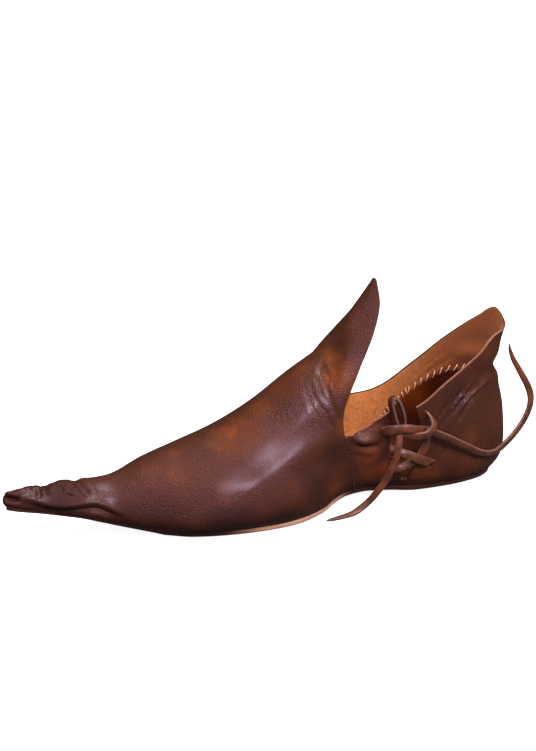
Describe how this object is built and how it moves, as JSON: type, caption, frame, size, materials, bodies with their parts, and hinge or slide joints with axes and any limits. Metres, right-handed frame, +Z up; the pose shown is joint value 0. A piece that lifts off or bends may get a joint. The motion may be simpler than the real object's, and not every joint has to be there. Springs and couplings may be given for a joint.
{
  "type": "pointed side-laced leather shoe",
  "caption": "Hollow leather shoe with a long upturned point, a tall throat flap, a slit laced on the inner side and a single turned-up sole, for the right foot.",
  "frame": {"origin": "middle of the shoe's box without the lace, on the ground plane the sole stands on", "axes": "+X from toe to heel, +Y towards the outer side of the foot, +Z up"},
  "size_m": [0.3552, 0.0936, 0.1455],
  "materials": {
    "upper_leather": "glossy dark brown vegetable-tanned leather, flesh side in",
    "sole_leather": "thick tan sole leather, smooth and dull",
    "stiffener_leather": "smooth orange-brown leather",
    "lace_leather": "flat orange-brown leather thong with pale cut edges"
  },
  "bodies": {
    "root": {"upper": "upper_leather", "sole": "sole_leather", "heel_stiffener": "stiffener_leather", "lace_crossings": "lace_leather", "lace_knot": "lace_leather", "lace_loop": "lace_leather", "lace_end_front": "lace_leather", "lace_end_back": "lace_leather"}
  },
  "joints": []
}
